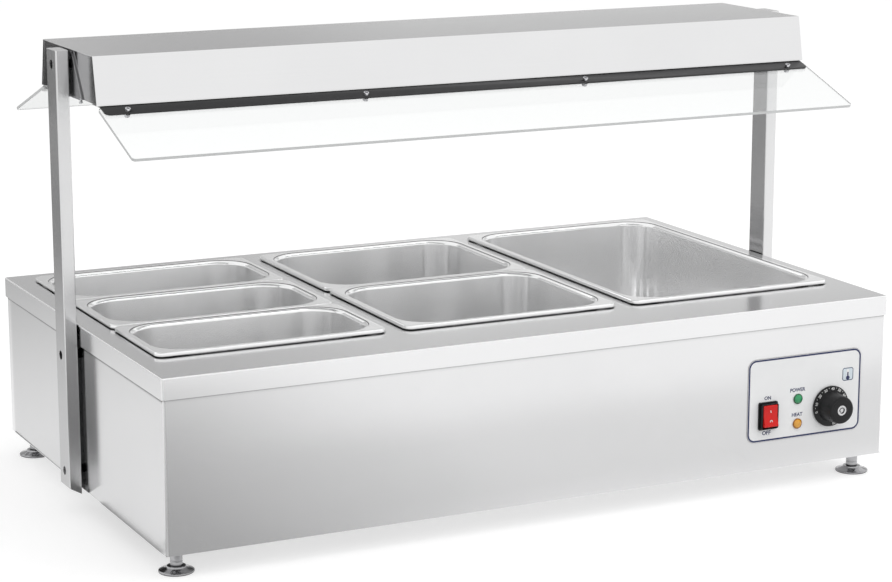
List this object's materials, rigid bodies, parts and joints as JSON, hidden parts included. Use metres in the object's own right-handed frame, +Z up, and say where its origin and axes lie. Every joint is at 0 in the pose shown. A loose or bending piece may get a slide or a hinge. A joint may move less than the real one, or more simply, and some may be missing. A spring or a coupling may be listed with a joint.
{
  "type": "bain marie",
  "caption": "Tabletop wet-heat bain marie: stainless body with lift-out food pans over a heated water tank, canopy on end posts with glass guards, rocker switch and dial.",
  "frame": {"origin": "on the floor, under the middle of the bounding box", "axes": "+X along the length, to the right seen from the front; the control panel faces -Y; +Z up"},
  "size_m": [1.1316, 0.716, 0.638],
  "materials": {
    "brushed_steel": "brushed along the length",
    "satin_steel": "satin",
    "pan_steel": "deep drawn, satin",
    "chrome": "polished plating",
    "zinc": "zinc plated",
    "element_steel": "annealed sheath",
    "black_paint": "semi-gloss black",
    "black_plastic": "fine texture",
    "label_film": "printed film",
    "red_plastic": "glossy, translucent",
    "green_lens": "glossy, translucent",
    "amber_lens": "glossy, translucent",
    "white_plastic": "moulded",
    "lead_sheath": "matt",
    "guard_glass": "clear, ground edges"
  },
  "bodies": {
    "frame": {"casing": "brushed_steel", "back_panel": "brushed_steel", "base_tray": "satin_steel", "worktop": "brushed_steel", "water_tank": "satin_steel", "heating_element": "element_steel", "foot_sleeve_front_left": "chrome", "foot_sleeve_front_right": "chrome", "foot_sleeve_back_left": "chrome", "foot_sleeve_back_right": "chrome", "post_left": "brushed_steel", "post_right": "brushed_steel", "fixing_low_left": "zinc", "fixing_mid_left": "zinc", "fixing_top_left": "zinc", "fixing_low_right": "zinc", "fixing_mid_right": "zinc", "fixing_top_right": "zinc", "canopy_shell": "brushed_steel", "canopy_end_left": "satin_steel", "canopy_end_right": "satin_steel", "canopy_bracket_left": "satin_steel", "canopy_bracket_right": "satin_steel", "glass_rail_front": "black_paint", "glass_rail_back": "black_paint", "glass_front": "guard_glass", "glass_back": "guard_glass", "control_label": "label_film", "switch_housing": "black_plastic", "lamp_power": "green_lens", "lamp_heat": "amber_lens", "thermostat_body": "zinc", "thermostat_bulb": "chrome", "control_shield": "satin_steel", "terminal_block": "white_plastic", "cable_gland": "black_plastic", "gland_nut": "black_plastic", "mains_lead": "lead_sheath", "element_lead": "lead_sheath"},
    "rocker": {"switch_rocker": "red_plastic"},
    "dial": {"knob": "black_plastic", "knob_cap": "chrome", "thermostat_shaft": "zinc"},
    "pan_third_front": {"pan_third_front": "pan_steel"},
    "pan_third_middle": {"pan_third_middle": "pan_steel"},
    "pan_third_back": {"pan_third_back": "pan_steel"},
    "pan_half_front": {"pan_half_front": "pan_steel"},
    "pan_half_back": {"pan_half_back": "pan_steel"},
    "pan_full": {"pan_full": "pan_steel"},
    "foot_front_left": {"foot_front_left": "chrome"},
    "foot_front_right": {"foot_front_right": "chrome"},
    "foot_back_left": {"foot_back_left": "chrome"},
    "foot_back_right": {"foot_back_right": "chrome"}
  },
  "joints": [
    {"name": "rocker_tilt", "type": "hinge", "parent": "frame", "child": "rocker", "pos_m": [0.3485, -0.3271, 0.111], "axis": [1, 0, 0], "range_deg": [0, 14]},
    {"name": "dial_turn", "type": "hinge", "parent": "frame", "child": "dial", "pos_m": [0.4533, -0.34, 0.113], "axis": [0, 1, 0], "range_deg": [0, 270]},
    {"name": "pan_third_front_lift", "type": "slide", "parent": "frame", "child": "pan_third_front", "axis": [0, 0, 1], "range_m": [0, 0.17]},
    {"name": "pan_third_middle_lift", "type": "slide", "parent": "frame", "child": "pan_third_middle", "axis": [0, 0, 1], "range_m": [0, 0.17]},
    {"name": "pan_third_back_lift", "type": "slide", "parent": "frame", "child": "pan_third_back", "axis": [0, 0, 1], "range_m": [0, 0.17]},
    {"name": "pan_half_front_lift", "type": "slide", "parent": "frame", "child": "pan_half_front", "axis": [0, 0, 1], "range_m": [0, 0.17]},
    {"name": "pan_half_back_lift", "type": "slide", "parent": "frame", "child": "pan_half_back", "axis": [0, 0, 1], "range_m": [0, 0.17]},
    {"name": "pan_full_lift", "type": "slide", "parent": "frame", "child": "pan_full", "axis": [0, 0, 1], "range_m": [0, 0.17]},
    {"name": "foot_front_left_level", "type": "slide", "parent": "frame", "child": "foot_front_left", "axis": [0, 0, -1], "range_m": [0, 0.01]},
    {"name": "foot_front_right_level", "type": "slide", "parent": "frame", "child": "foot_front_right", "axis": [0, 0, -1], "range_m": [0, 0.01]},
    {"name": "foot_back_left_level", "type": "slide", "parent": "frame", "child": "foot_back_left", "axis": [0, 0, -1], "range_m": [0, 0.01]},
    {"name": "foot_back_right_level", "type": "slide", "parent": "frame", "child": "foot_back_right", "axis": [0, 0, -1], "range_m": [0, 0.01]}
  ]
}
